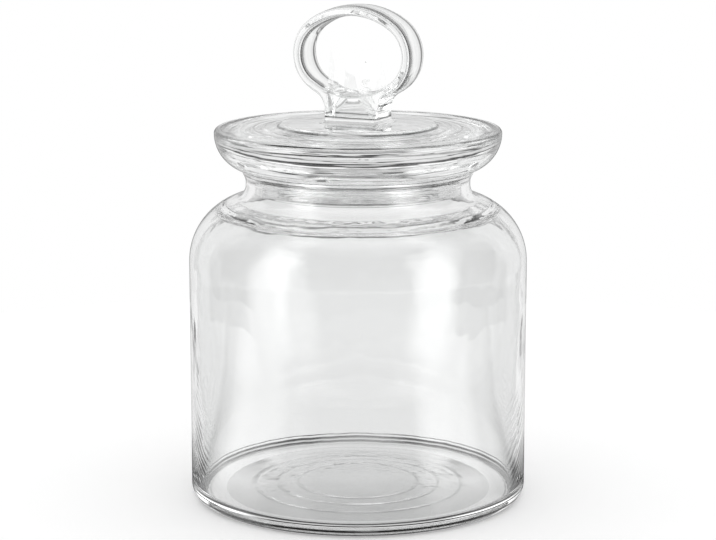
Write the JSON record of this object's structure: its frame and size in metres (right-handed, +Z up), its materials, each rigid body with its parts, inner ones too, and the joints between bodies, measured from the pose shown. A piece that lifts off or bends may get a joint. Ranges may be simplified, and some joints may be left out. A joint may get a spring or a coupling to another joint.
{
  "type": "glass storage jar",
  "caption": "round clear glass storage jar with a waisted neck and a saucer-shaped pressed glass lid that has an oval ring handle and a finned soft seal",
  "frame": {"origin": "middle of the foot, on the surface that the jar stands on", "axes": "+Z up along the jar's axis, +X along the width of the ring handle, +Y through the finger hole"},
  "size_m": [0.116, 0.116, 0.1704],
  "materials": {
    "jar_glass": "clear blown soda-lime glass, polished, with slight waves in the wall",
    "lid_glass": "clear pressed soda-lime glass, fire-polished",
    "seal_plastic": "soft translucent plastic, satin"
  },
  "bodies": {
    "jar": {"glass_jar": "jar_glass"},
    "seal": {"lid_seal": "seal_plastic"},
    "lid": {"glass_lid": "lid_glass"}
  },
  "joints": [
    {"name": "lid_lift", "type": "slide", "parent": "jar", "child": "seal", "axis": [0, 0, 1], "range_m": [0, 0.06]},
    {"name": "lid_turn", "type": "hinge", "parent": "seal", "child": "lid", "pos_m": [0, 0, 0.1153], "axis": [0, 0, 1], "continuous": true}
  ]
}
